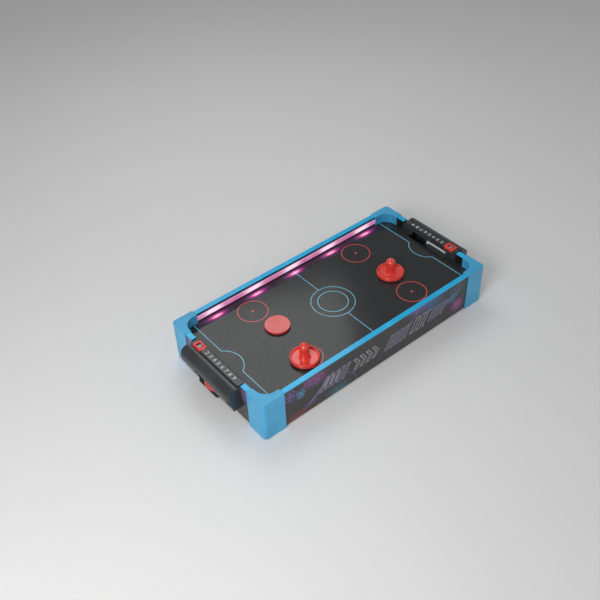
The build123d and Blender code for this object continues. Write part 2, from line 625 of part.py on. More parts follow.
with BuildPart() as fan_motor:
    with BuildSketch(Plane.XY.offset(BRIDGE_TOP)):
        Circle(MOTOR_RADIUS - 0.05)
    extrude(amount=MOTOR_TOP - BRIDGE_TOP)
    fillet(fan_motor.edges().group_by(Axis.Z)[-1], 1.0)
    with BuildSketch(Plane.XY.offset(BRIDGE_BOTTOM + 0.5)):
        Circle(3.0)
    extrude(amount=BRIDGE_TOP - BRIDGE_BOTTOM)
    # Two solder tags on the end cap
    for y in (-6.0, 6.0):
        block((5.0, y - 1.2, MOTOR_TOP - 0.5), (5.6, y + 1.2, MOTOR_TOP + TAG_HEIGHT))
    drill(Plane.XY.offset(BRIDGE_BOTTOM), [(0, 0)], SHAFT_RADIUS + 0.05, 20)
fan_motor.part.label = "fan_motor"
export_step(fan_motor.part, "parts/fan_motor.step")


# ---------------------------------------------------------------- battery box and switch
FLANGE_BOTTOM = 6.6
DOOR_TOP = 6.3
DOOR_BOTTOM = 4.9
DOOR_LENGTH = 50.0
DOOR_HALF_Y = 31.2
RIB_HEIGHT = 0.6
GUIDE_BOTTOM = 3.9
GUIDE_HALF_X = 27.0
GUIDE_HALF_Y = 34.0
with BuildPart() as battery_box:
    block((BATTERY_X - BOX_LENGTH_X / 2, -BOX_LENGTH_Y / 2, FLANGE_BOTTOM),
          (BATTERY_X + BOX_LENGTH_X / 2, BOX_LENGTH_Y / 2, BOX_TOP))
    block((BATTERY_X - GUIDE_HALF_X, -GUIDE_HALF_Y, FLANGE_BOTTOM),
          (BATTERY_X + GUIDE_HALF_X, GUIDE_HALF_Y, BASE_BOTTOM))
    block((BATTERY_X - BOX_LENGTH_X / 2 + BOX_WALL, -BOX_LENGTH_Y / 2 + BOX_WALL, 0),
          (BATTERY_X + BOX_LENGTH_X / 2 - BOX_WALL, BOX_LENGTH_Y / 2 - BOX_WALL, BOX_TOP - BOX_WALL),
          mode=Mode.SUBTRACT)
    # Guides that hold the sliding door, and a stop behind it
    for y_sign in (-1, 1):
        guide_side = (y_sign * (DOOR_HALF_Y + 0.3), FLANGE_BOTTOM)
        guide_lip = (y_sign * (DOOR_HALF_Y - 1.2), DOOR_BOTTOM - 0.3)
        for y_inner, top in (guide_side, guide_lip):
            y_low, y_high = sorted((y_inner, y_sign * GUIDE_HALF_Y))
            block((BATTERY_X - GUIDE_HALF_X, y_low, GUIDE_BOTTOM), (BATTERY_X + GUIDE_HALF_X, y_high, top))
    block((BATTERY_X + GUIDE_HALF_X - 1.6, -GUIDE_HALF_Y, GUIDE_BOTTOM),
          (BATTERY_X + GUIDE_HALF_X, GUIDE_HALF_Y, FLANGE_BOTTOM))
battery_box.part.label = "battery_box"
export_step(battery_box.part, "parts/battery_box.step")

with BuildPart() as battery_door:
    block((BATTERY_X - DOOR_LENGTH / 2, -DOOR_HALF_Y, DOOR_BOTTOM),
          (BATTERY_X + DOOR_LENGTH / 2, DOOR_HALF_Y, DOOR_TOP))
    # Grip ribs on the outside
    for i in range(5):
        rib_x = BATTERY_X - 18 + 3 * i
        block((rib_x - 0.6, -9, DOOR_BOTTOM - RIB_HEIGHT), (rib_x + 0.6, 9, DOOR_BOTTOM + 0.2))
battery_door.part.label = "battery_door"
export_step(battery_door.part, "parts/battery_door.step")

CELL_Z = BOX_TOP - BOX_WALL - CELL_RADIUS - 0.1
CELL_XS = [BATTERY_X + (i - 1) * CELL_PITCH for i in range(CELLS)]
CELL_TURNS = [1, -1, 1]
with BuildPart() as batteries:
    for x, turn in zip(CELL_XS, CELL_TURNS):
        with BuildSketch(Plane(origin=(x, -turn * CELL_LENGTH / 2, CELL_Z), z_dir=(0, turn, 0))):
            Circle(CELL_RADIUS)
        extrude(amount=CELL_LENGTH)
        with BuildSketch(Plane(origin=(x, turn * CELL_LENGTH / 2, CELL_Z), z_dir=(0, turn, 0))):
            Circle(2.7)
        extrude(amount=1.0)
batteries.part.label = "batteries"
export_step(batteries.part, "parts/batteries.step")

WALL_Y = BOX_LENGTH_Y / 2 - BOX_WALL
with BuildPart() as battery_contacts:
    for x, turn in zip(CELL_XS, CELL_TURNS):
        # Button plate at the positive end, plate with a cone spring at the other
        for way in (turn, -turn):
            with BuildSketch(Plane(origin=(x, way * WALL_Y, CELL_Z), z_dir=(0, -way, 0))):
                Rectangle(9, 9)
            extrude(amount=0.5)
        with BuildSketch(Plane(origin=(x, turn * (WALL_Y - 0.5), CELL_Z), z_dir=(0, -turn, 0))):
            Circle(2.5)
        extrude(amount=WALL_Y - 0.5 - CELL_LENGTH / 2 - 1.0)
        with BuildSketch(Plane(origin=(x, -turn * (WALL_Y - 0.5), CELL_Z), z_dir=(0, turn, 0))):
            Circle(4.4)
        extrude(amount=WALL_Y - 0.5 - CELL_LENGTH / 2, taper=25)
battery_contacts.part.label = "battery_contacts"
export_step(battery_contacts.part, "parts/battery_contacts.step")

with BuildPart() as power_switch_body:
    block((SWITCH_X - 7, -4, BASE_TOP), (SWITCH_X + 7, 4, BASE_TOP + 7))
    block((SWITCH_X - 12, -4, BASE_TOP), (SWITCH_X + 12, 4, BASE_TOP + 0.8))
    block((SWITCH_X - 4.6, -2, BASE_TOP - 1), (SWITCH_X + 4.6, 2, BASE_TOP + 4), mode=Mode.SUBTRACT)
power_switch_body.part.label = "power_switch_body"
export_step(power_switch_body.part, "parts/power_switch_body.step")

SWITCH_TRAVEL = 4.0
KNOB_BOTTOM = 6.0
KNOB_X = SWITCH_X + SWITCH_TRAVEL / 2
with BuildPart() as power_switch_knob:
    block((KNOB_X - 1.8, -1.5, KNOB_BOTTOM), (KNOB_X + 1.8, 1.5, BASE_TOP + 3.6))
    for i in (-1, 0, 1):
        rib_x = KNOB_X + 1.1 * i
        block((rib_x - 0.3, -1.5, KNOB_BOTTOM - 0.4), (rib_x + 0.3, 1.5, KNOB_BOTTOM + 0.2))
power_switch_knob.part.label = "power_switch_knob"
export_step(power_switch_knob.part, "parts/power_switch_knob.step")


# ---------------------------------------------------------------- wires
WIRE_RADIUS = 0.7


def wire(points, radius):
    """A round wire along straight runs joined by arcs, in the active part."""
    with BuildLine() as route:
        FilletPolyline(*points, radius=radius)
    start = Vector(*points[0])
    along = Vector(*points[1]) - start
    with BuildSketch(Plane(origin=start, z_dir=along)) as section:
        Circle(WIRE_RADIUS)
    sweep(section.sketch, path=route.line)


box_side = BATTERY_X + BOX_LENGTH_X / 2
with BuildPart() as wire_battery:
    wire([(box_side, 0, 20), (box_side + 5, 0, 20), (SWITCH_X - 7 - 5, 0, 15),
          (SWITCH_X - 7, 0, 15)], 3.0)
wire_battery.part.label = "wire_battery"
export_step(wire_battery.part, "parts/wire_battery.step")

with BuildPart() as wire_motor:
    tag_z = MOTOR_TOP + TAG_HEIGHT - 0.6
    wire([(SWITCH_X + 7, 0, 15), (SWITCH_X + 16, 0, 15), (-38, 8, 40), (-20, 6, tag_z),
          (5.0, 6, tag_z)], 4.0)
wire_motor.part.label = "wire_motor"
export_step(wire_motor.part, "parts/wire_motor.step")

for side, sign in SIDES:
    with BuildPart() as wire_led:
        channel_y = sign * (SIDE_INNER + LED_GROOVE - 1.0)
        wire([(SWITCH_X, sign * 4, 14.5), (SWITCH_X, sign * 76, 14.5), (SWITCH_X, sign * 88, 28),
              (SWITCH_X, channel_y, 34), (SWITCH_X, channel_y, LED_BOTTOM + 1)], 3.0)
    wire_led.part.label = f"wire_led_{side}"
    export_step(wire_led.part, f"parts/wire_led_{side}.step")


# ---------------------------------------------------------------- screws
with BuildPart() as post_screws:
    for _, sign in SIDES:
        drive_screws(side_face(sign, POST_INNER_Y), post_holes, 9.0)
    for _, sign in ENDS:
        drive_screws(end_face(sign, POST_INNER_X), corner_holes, 8.0)
post_screws.part.label = "post_screws"
export_step(post_screws.part, "parts/post_screws.step")

with BuildPart() as base_screws:
    drive_screws(Plane.XY.offset(BASE_BOTTOM), BASE_SCREW_SPOTS, 10.0)
base_screws.part.label = "base_screws"
export_step(base_screws.part, "parts/base_screws.step")

with BuildPart() as goal_screws:
    for _, sign in ENDS:
        drive_screws(end_face(sign, END_INNER - GOAL_WALL), ear_holes, 8.0)
        drive_screws(end_plan(sign, TRAY_TOP - GOAL_WALL), FLOOR_SCREWS, 10.0)
        drive_screws(end_plan(sign, MOUTH_TOP), BAR_SCREWS, 5.4)
goal_screws.part.label = "goal_screws"
export_step(goal_screws.part, "parts/goal_screws.step")

with BuildPart() as fan_screws:
    drive_screws(Plane.XY.offset(BASE_BOTTOM - 1.5), fan_screw_spots, 11.0)
fan_screws.part.label = "fan_screws"
export_step(fan_screws.part, "parts/fan_screws.step")


# ---------------------------------------------------------------- pucks and paddles
PUCK_SPOTS = ((PUCK_ON_TABLE, PLAY_TOP + AIR_GAP), (PUCK_IN_GOAL, TRAY_TOP + AIR_GAP))
for number, (spot, bottom) in enumerate(PUCK_SPOTS, start=1):
    with BuildPart() as puck:
        with BuildSketch(Plane(origin=(*spot, bottom))):
            Circle(PUCK_RADIUS)
        extrude(amount=PUCK_THICKNESS)
        fillet(puck.edges().filter_by(GeomType.CIRCLE), 0.8)
        # Moulded rings on both faces
        for level in (bottom, bottom + PUCK_THICKNESS - PUCK_RING_DEPTH):
            with BuildSketch(Plane(origin=(*spot, level))):
                for radius in PUCK_RINGS:
                    Circle(radius + PUCK_RING_WIDTH / 2)
                    Circle(radius - PUCK_RING_WIDTH / 2, mode=Mode.SUBTRACT)
            extrude(amount=PUCK_RING_DEPTH, mode=Mode.SUBTRACT)
    puck.part.label = f"puck_{number}"
    export_step(puck.part, f"parts/puck_{number}.step")

FELT_BOTTOM = PLAY_TOP + AIR_GAP
FELT_TOP = FELT_BOTTOM + 1.5
PADDLE_BOTTOM = FELT_BOTTOM + 1.0
RIM_TOP = PADDLE_BOTTOM + 5.8
DISH_FLOOR = PADDLE_BOTTOM + 2.2
KNOB_TOP = 83.6
KNOB_RADIUS = 7.8
KNOB_NECK = 7.3
KNOB_WALL = 2.0
FELT_RADIUS = 18.0
for number, spot in enumerate(PADDLE_SPOTS, start=1):
    axis_plane = Plane(origin=(*spot, 0), x_dir=(1, 0, 0), z_dir=(0, -1, 0))
    dome_centre = KNOB_TOP - KNOB_RADIUS
    knob_side = (KNOB_RADIUS, dome_centre)
    foot_of_knob = (KNOB_RADIUS + 1.6, DISH_FLOOR)
    rim_outside = (PADDLE_RADIUS - 0.3, RIM_TOP - 0.9)
    rim_inside = (PADDLE_RADIUS - 2.4, RIM_TOP - 0.8)
    with BuildPart() as paddle:
        with BuildSketch(axis_plane):
            with BuildLine():
                # Underside and rim, then the dish, the waisted knob and its dome
                Polyline((0, PADDLE_BOTTOM), (PADDLE_RADIUS - 0.8, PADDLE_BOTTOM),
                         (PADDLE_RADIUS, PADDLE_BOTTOM + 1.0), rim_outside)
                ThreePointArc(rim_outside, (PADDLE_RADIUS - 1.3, RIM_TOP), rim_inside)
                Polyline(rim_inside, (PADDLE_RADIUS - 3.2, DISH_FLOOR + 0.2), foot_of_knob)
                ThreePointArc(foot_of_knob, (KNOB_RADIUS + 0.4, DISH_FLOOR + 0.5),
                              (KNOB_RADIUS, DISH_FLOOR + 1.6))
                ThreePointArc((KNOB_RADIUS, DISH_FLOOR + 1.6), (KNOB_NECK, dome_centre - 8), knob_side)
                RadiusArc(knob_side, (0, KNOB_TOP), -KNOB_RADIUS)
                Line((0, KNOB_TOP), (0, PADDLE_BOTTOM))
            make_face()
        revolve(axis=Axis((*spot, 0), (0, 0, 1)))
        # Hollow knob, and the recess for the felt
        with BuildSketch(axis_plane):
            with BuildLine():
                hollow_radius = KNOB_NECK - KNOB_WALL
                hollow_side = (hollow_radius, dome_centre)
                hollow_top = (0, dome_centre + hollow_radius)
                Polyline((0, PADDLE_BOTTOM), (FELT_RADIUS, PADDLE_BOTTOM), (FELT_RADIUS, FELT_TOP),
                         (hollow_radius, FELT_TOP), hollow_side)
                RadiusArc(hollow_side, hollow_top, -hollow_radius)
                Line(hollow_top, (0, PADDLE_BOTTOM))
            make_face()
        revolve(axis=Axis((*spot, 0), (0, 0, 1)), mode=Mode.SUBTRACT)
    paddle.part.label = f"paddle_{number}"
    export_step(paddle.part, f"parts/paddle_{number}.step")

    with BuildPart() as paddle_felt:
        with BuildSketch(Plane(origin=(*spot, FELT_BOTTOM))):
            Circle(FELT_RADIUS)
        extrude(amount=FELT_TOP - FELT_BOTTOM)
    paddle_felt.part.label = f"paddle_felt_{number}"
    export_step(paddle_felt.part, f"parts/paddle_felt_{number}.step")
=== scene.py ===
import math

import bmesh
import bpy
from mathutils import Matrix, Vector


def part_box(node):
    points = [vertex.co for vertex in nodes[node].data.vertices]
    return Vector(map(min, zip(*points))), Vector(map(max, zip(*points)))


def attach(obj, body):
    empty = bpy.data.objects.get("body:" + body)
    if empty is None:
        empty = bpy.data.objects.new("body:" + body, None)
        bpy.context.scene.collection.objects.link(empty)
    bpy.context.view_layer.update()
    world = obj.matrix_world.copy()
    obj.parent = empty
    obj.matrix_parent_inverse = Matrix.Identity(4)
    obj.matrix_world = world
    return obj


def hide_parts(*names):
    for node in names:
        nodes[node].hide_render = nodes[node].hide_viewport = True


# Looks for the table-top air hockey game. Metres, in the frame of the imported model:
# X along the table, Y across it, Z up. Materials are drawn in Object coordinates, which are the
# same as the frame's, because every CAD node's object sits at the origin.

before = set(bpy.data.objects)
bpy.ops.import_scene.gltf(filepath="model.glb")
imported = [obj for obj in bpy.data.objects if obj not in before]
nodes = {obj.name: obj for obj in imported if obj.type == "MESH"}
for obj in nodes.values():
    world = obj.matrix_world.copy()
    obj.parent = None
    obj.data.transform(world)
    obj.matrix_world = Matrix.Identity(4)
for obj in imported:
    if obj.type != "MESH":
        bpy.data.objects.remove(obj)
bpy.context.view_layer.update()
MM = 0.001


# ---------------------------------------------------------------- colours and node graphs
def colour(red, green, blue):
    """A linear colour with alpha from screen values of 0 to 255."""
    def linear(value):
        value /= 255
        return value / 12.92 if value <= 0.04045 else ((value + 0.055) / 1.055) ** 2.4
    return (linear(red), linear(green), linear(blue), 1.0)


class Graph:
    """A node material with one Principled shader, and short calls for the nodes that feed it."""

    def __init__(self, name, **sockets):
        self.material = bpy.data.materials.new(name)
        self.material.use_nodes = True
        self.tree = self.material.node_tree
        self.shader = self.tree.nodes["Principled BSDF"]
        for socket, value in sockets.items():
            self.set(socket.replace("_", " "), value)
        self.where = self.node("TexCoord", output="Object")

    def set(self, socket, value):
        """Sets a socket of the shader, or links a node's output to it."""
        self.feed(value, self.shader.inputs[socket])

    def feed(self, value, socket):
        if isinstance(value, bpy.types.NodeSocket):
            self.tree.links.new(value, socket)
        else:
            socket.default_value = value

    def node(self, kind, *inputs, output=0, **settings):
        """Adds a node, feeds its first inputs in order (None skips one), and returns an output."""
        node = self.tree.nodes.new("ShaderNode" + kind)
        for key, value in settings.items():
            setattr(node, key, value)
        for socket, value in zip(node.inputs, inputs):
            if value is not None:
                self.feed(value, socket)
        return node.outputs[output]

    def math(self, operation, a, b=None, c=None, clamp=False):
        return self.node("Math", a, b, c, operation=operation, use_clamp=clamp)

    def vector(self, operation, a, b=None):
        output = "Value" if operation in ("LENGTH", "DOT_PRODUCT") else "Vector"
        return self.node("VectorMath", a, b, operation=operation, output=output)

    def split(self, vector):
        parts = self.tree.nodes.new("ShaderNodeSeparateXYZ")
        self.feed(vector, parts.inputs[0])
        return parts.outputs

    def join(self, x, y, z=0.0):
        return self.node("CombineXYZ", x, y, z)

    def smooth(self, value, low, high):
        """0 below low and 1 above high (or the other way round if low is the larger)."""
        return self.node("MapRange", value, low, high, 0.0, 1.0, interpolation_type="SMOOTHSTEP")

    def scale(self, value, low, high, new_low, new_high):
        return self.node("MapRange", value, low, high, new_low, new_high)

    def spread(self, noise):
        """The middle of a noise's range, from 0 to 1."""
        return self.scale(noise, 0.3, 0.7, 0.0, 1.0)

    def facing(self, axis):
        """The surface normal's part along an axis, -1 to 1."""
        return self.split(self.node("NewGeometry", output="Normal"))[axis]

    def noise(self, scale, detail=3.0, roughness=0.5, stretch=(1, 1, 1)):
        """Noise from 0 to 1 with features about 1 / scale metres wide."""
        where = self.node("Mapping", self.where, None, None, stretch)
        return self.node("TexNoise", where, None, scale, detail, roughness)

    def mix(self, factor, a, b):
        """Mixes two colours."""
        node = self.tree.nodes.new("ShaderNodeMix")
        node.data_type = "RGBA"
        self.feed(factor, node.inputs[0])
        self.feed(a, node.inputs[6])
        self.feed(b, node.inputs[7])
        return node.outputs[2]

    def wash(self, mask, strength, under, over):
        """Lays one colour over another where mask is 1, at part strength."""
        return self.mix(self.math("MULTIPLY", mask, strength), under, over)

    def bump(self, height, distance, strength):
        """A normal from a height of 0 to 1 that stands for distance metres."""
        return self.node("Bump", strength, distance, None, height)

    def worn_edges(self, radius):
        """0 on flat faces, rising to 1 on sharp outer edges."""
        round_normal = self.node("Bevel", radius, samples=4)
        flat_normal = self.node("NewGeometry", output="Normal")
        return self.smooth(self.vector("DOT_PRODUCT", round_normal, flat_normal), 0.985, 0.88)


def paint(material, *names):
    """Puts a material in every slot of the named objects."""
    for name in names:
        if not nodes[name].material_slots:
            nodes[name].data.materials.append(material)
        for slot in nodes[name].material_slots:
            slot.material = material


# ---------------------------------------------------------------- plain materials
RUBBED_WIDTH = 0.5 * MM


def moulded(name, base, roughness, grain, wear, coat=0.0):
    """Injection-moulded plastic: fine spark-erosion grain, faint flow shading, handling scuffs
    and lighter, slightly rubbed edges."""
    g = Graph(name, Specular_IOR_Level=0.5, Coat_Weight=coat, Coat_Roughness=0.12)
    flow = g.noise(22, detail=4, roughness=0.55)
    darker = tuple(c * 0.86 for c in base[:3]) + (1.0,)
    lighter = tuple(min(1.0, c * 1.12 + 0.01) for c in base[:3]) + (1.0,)
    body = g.mix(g.spread(flow), darker, lighter)
    scuff = g.smooth(g.noise(130, detail=6, roughness=0.7, stretch=(1, 0.25, 1)), 0.62, 0.74)
    uneven = g.scale(g.noise(90), 0.3, 0.7, 0.35, 1.0)
    rubbed = g.math("MULTIPLY", g.worn_edges(RUBBED_WIDTH), uneven)
    pale = tuple(c * 0.55 + 0.38 for c in base[:3]) + (1.0,)
    body = g.wash(rubbed, wear * 3, body, pale)
    g.set("Base Color", g.wash(scuff, wear, body, pale))
    plain = g.scale(flow, 0.2, 0.8, roughness - 0.04, roughness + 0.05)
    g.set("Roughness", g.math("MULTIPLY_ADD", scuff, 0.16, plain))
    fine = g.noise(2600, detail=2, roughness=0.6)
    g.set("Normal", g.bump(fine, 0.05 * MM, grain))
    return g.material


def plated(name, base, roughness):
    """Plated steel: a brushed tone with small dull spots."""
    g = Graph(name, Metallic=1.0)
    brush = g.noise(900, detail=3, stretch=(0.15, 1, 1))
    spots = g.smooth(g.noise(420, detail=5, roughness=0.7), 0.58, 0.72)
    dull = tuple(c * 0.6 for c in base[:3]) + (1.0,)
    g.set("Base Color", g.wash(spots, 0.5, base, dull))
    plain = g.scale(brush, 0.2, 0.8, roughness - 0.08, roughness + 0.1)
    g.set("Roughness", g.math("MULTIPLY_ADD", spots, 0.25, plain))
    g.set("Normal", g.bump(brush, 0.02 * MM, 0.4))
    return g.material


def sawn_wood(name, light, dark):
    """Softwood battens with growth rings along the length and fine pores."""
    g = Graph(name, Roughness=0.72)
    ripple = g.noise(14, detail=3, stretch=(0.12, 1, 1))
    across = g.split(g.where)[1]
    rings = g.math("SINE", g.math("MULTIPLY_ADD", ripple, 26.0, g.math("MULTIPLY", across, 900.0)))
    pores = g.smooth(g.noise(700, detail=4, stretch=(0.05, 1, 1)), 0.56, 0.72)
    tone = g.mix(g.scale(rings, -1.0, 1.0, 0.1, 0.8), light, dark)
    g.set("Base Color", g.wash(pores, 0.5, tone, dark))
    g.set("Normal", g.bump(g.math("ADD", pores, g.math("MULTIPLY", rings, 0.2)), 0.08 * MM, 0.5))
    return g.material


def pressed_board(name, light, dark):
    """Hardboard: matted fibres, dark flecks and a dull sheen."""
    g = Graph(name)
    fibres = g.noise(380, detail=6, roughness=0.75, stretch=(0.35, 1, 1))
    flecks = g.smooth(g.noise(900, detail=3, roughness=0.8), 0.60, 0.70)
    tone = g.mix(g.spread(fibres), light, dark)
    darkest = tuple(c * 0.4 for c in dark[:3]) + (1.0,)
    g.set("Base Color", g.wash(flecks, 0.6, tone, darkest))
    g.set("Roughness", g.scale(fibres, 0.2, 0.8, 0.45, 0.62))
    g.set("Normal", g.bump(fibres, 0.06 * MM, 0.5))
    return g.material


def felt_cloth(name, base):
    """Needled wool felt: matted fibres with a soft nap."""
    g = Graph(name, Roughness=0.95, Sheen_Weight=0.6, Sheen_Roughness=0.5,
              Sheen_Tint=colour(150, 150, 155))
    fibres = g.noise(1500, detail=8, roughness=0.85, stretch=(1, 1, 0.6))
    lint = g.smooth(g.noise(600, detail=6, roughness=0.8), 0.60, 0.72)
    pale = tuple(c + 0.08 for c in base[:3]) + (1.0,)
    g.set("Base Color", g.wash(lint, 0.6, base, pale))
    g.set("Normal", g.bump(fibres, 0.25 * MM, 0.8))
    return g.material


# ---------------------------------------------------------------- playfield
LINE = 1.35 * MM
FACE_OFF = (105.7 * MM, 63.8 * MM)
FACE_OFF_RADIUS = 23.3 * MM
CENTRE_RADII = (34.0 * MM, 23.5 * MM)
GOAL_LINE_X = 191.2 * MM
FIELD_EDGE_Y = 96.8 * MM
CREASE_HALF = 25.9 * MM
CREASE_DEPTH = 14.2 * MM
FACE_OFF_DOT = 2.1 * MM
LINE_BLUR = 0.12 * MM
LED_PITCH = 76.0 * MM
LED_COUNT = 5
GLOW_LENGTH = 26.0 * MM
GLOW_WIDTHS = (3.6 * MM, 7.5 * MM)      # beside the front strip and beside the back one
GLOW_MIDDLES = (94.0 * MM, 91.5 * MM)
SIDE_SWITCH = 1.0 * MM                  # the y within which front values change to back ones


def from_lamp(g, x):
    """How far x is from the nearest lamp, as -0.5 to 0.5 of the lamps' pitch."""
    turns = g.math("ADD", g.math("DIVIDE", x, LED_PITCH), 0.5)
    return g.math("SUBTRACT", g.math("FRACT", turns), 0.5)


def playfield_material():
    """Dark satin board with the printed rink lines, and the lamps' glow along the light strips
    painted on as emission.
    """
    g = Graph("playfield_print", Specular_IOR_Level=0.45, Coat_Weight=0.10, Coat_Roughness=0.3)
    x, y = g.split(g.where)[:2]
    far_x = g.math("ABSOLUTE", x)
    far_y = g.math("ABSOLUTE", y)

    def stroke(distance):
        """1 within half a line's width of where distance is 0."""
        return under(g.math("ABSOLUTE", distance), LINE / 2)

    def circle(centre, radius):
        offset = g.vector("SUBTRACT", g.join(far_x, far_y), (*centre, 0.0))
        return g.math("SUBTRACT", g.vector("LENGTH", offset), radius)

    def both(a, b):
        return g.math("MULTIPLY", a, b)

    def either(*masks):
        found = masks[0]
        for mask in masks[1:]:
            found = g.math("MAXIMUM", found, mask)
        return found

    def over(value, limit):
        return g.smooth(value, limit - LINE_BLUR, limit + LINE_BLUR)

    def under(value, limit):
        return g.smooth(value, limit + LINE_BLUR, limit - LINE_BLUR)

    crease_radius = (CREASE_HALF**2 + CREASE_DEPTH**2) / (2 * CREASE_DEPTH)
    crease_centre = (GOAL_LINE_X - CREASE_DEPTH + crease_radius, 0.0)
    in_field = under(far_y, FIELD_EDGE_Y)
    goal_line = stroke(g.math("SUBTRACT", far_x, GOAL_LINE_X))
    blue = either(
        stroke(circle((0, 0), CENTRE_RADII[0])),
        stroke(circle((0, 0), CENTRE_RADII[1])),
        both(stroke(far_x), both(over(far_y, CENTRE_RADII[0]), in_field)),
        both(goal_line, both(over(far_y, CREASE_HALF), in_field)),
        both(stroke(circle(crease_centre, crease_radius)), under(far_x, GOAL_LINE_X)))
    red = either(stroke(circle(FACE_OFF, FACE_OFF_RADIUS)),
                 under(circle(FACE_OFF, 0.0), FACE_OFF_DOT))

    cloudy = g.noise(9, detail=5, roughness=0.6)
    specks = g.smooth(g.noise(1900, detail=2), 0.62, 0.74)
    ground = g.mix(g.spread(cloudy), colour(40, 42, 43), colour(45, 47, 48))
    ground = g.wash(specks, 0.12, ground, colour(72, 75, 77))
    printed = g.wash(blue, 0.92, ground, colour(122, 205, 232))
    printed = g.wash(red, 0.92, printed, colour(238, 92, 84))
    on_top = g.smooth(g.facing(2), 0.4, 0.6)
    g.set("Base Color", g.mix(on_top, colour(30, 27, 25), printed))

    # Painted light: each lamp's glow is painted on the board beside the strip as a long soft
    # emissive patch
    width = g.scale(y, -SIDE_SWITCH, SIDE_SWITCH, *GLOW_WIDTHS)
    middle = g.scale(y, -SIDE_SWITCH, SIDE_SWITCH, *GLOW_MIDDLES)
    away = g.vector("LENGTH", g.join(
        g.math("MULTIPLY", from_lamp(g, x), LED_PITCH / GLOW_LENGTH),
        g.math("DIVIDE", g.math("SUBTRACT", far_y, middle), width)))
    lit = both(under(far_x, (LED_COUNT * LED_PITCH) / 2), on_top)
    haze = both(g.smooth(away, 1.9, 0.3), lit)
    halo = both(g.smooth(away, 1.0, 0.15), lit)
    core = both(g.smooth(away, 0.55, 0.05), lit)
    painted_glow = g.mix(halo, colour(120, 40, 150), colour(232, 26, 140))
    g.set("Emission Color", g.mix(core, painted_glow, colour(255, 164, 196)))
    strength = g.math("MULTIPLY_ADD", halo, 0.80, g.math("MULTIPLY", haze, 0.10))
    g.set("Emission Strength", g.math("MULTIPLY_ADD", core, 0.55, strength))

    smears = g.noise(16, detail=3, roughness=0.5, stretch=(0.6, 1, 1))
    g.set("Roughness", g.scale(smears, 0.3, 0.7, 0.13, 0.17))
    g.set("Normal", g.bump(g.noise(1400, detail=3), 0.012 * MM, 0.5))
    return g.material


# ---------------------------------------------------------------- printed boards
LAVENDER = colour(178, 172, 206)
PALE = colour(208, 202, 216)
VIOLET = colour(128, 92, 178)
SKY = colour(84, 160, 216)
TEAL = colour(44, 116, 140)
PINK = colour(190, 84, 168)
FILM_BLACK = colour(40, 39, 42)


